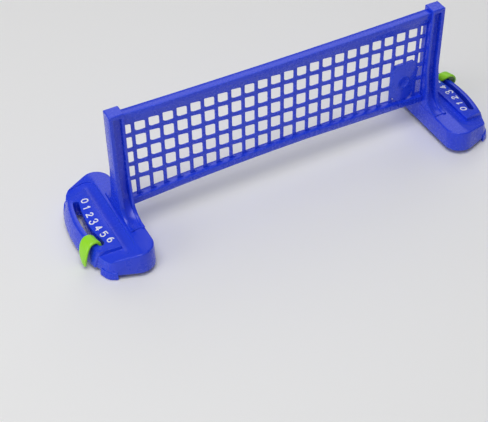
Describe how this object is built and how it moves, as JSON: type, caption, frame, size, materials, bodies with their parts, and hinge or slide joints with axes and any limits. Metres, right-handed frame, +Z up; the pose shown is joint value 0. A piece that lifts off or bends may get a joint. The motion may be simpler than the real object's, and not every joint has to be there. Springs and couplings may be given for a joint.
{
  "type": "table tennis net",
  "caption": "Free-standing toy table tennis net: a moulded net panel between two posts on hollow bases, each base with a score scale and a sliding score marker.",
  "frame": {"origin": "on the table the net stands on, midway between the posts", "axes": "+X along the net, +Y across it, +Z up"},
  "size_m": [0.3326, 0.0966, 0.1041],
  "materials": {
    "blue_plastic": "glossy moulded",
    "green_plastic": "glossy moulded",
    "white_print": "foil print"
  },
  "bodies": {
    "net": {"net_panel": "blue_plastic", "post_left": "blue_plastic", "post_right": "blue_plastic", "base_left": "blue_plastic", "base_right": "blue_plastic", "numerals_left": "white_print", "numerals_right": "white_print"},
    "slider_left": {"slider_left": "green_plastic"},
    "slider_right": {"slider_right": "green_plastic"}
  },
  "joints": [
    {"name": "score_left", "type": "hinge", "parent": "net", "child": "slider_left", "pos_m": [-0.059, 0, 0.018], "axis": [0, 0, 1], "range_deg": [-22.6, 0]},
    {"name": "score_right", "type": "hinge", "parent": "net", "child": "slider_right", "pos_m": [0.059, 0, 0.018], "axis": [0, 0, 1], "range_deg": [-22.6, 0]}
  ]
}
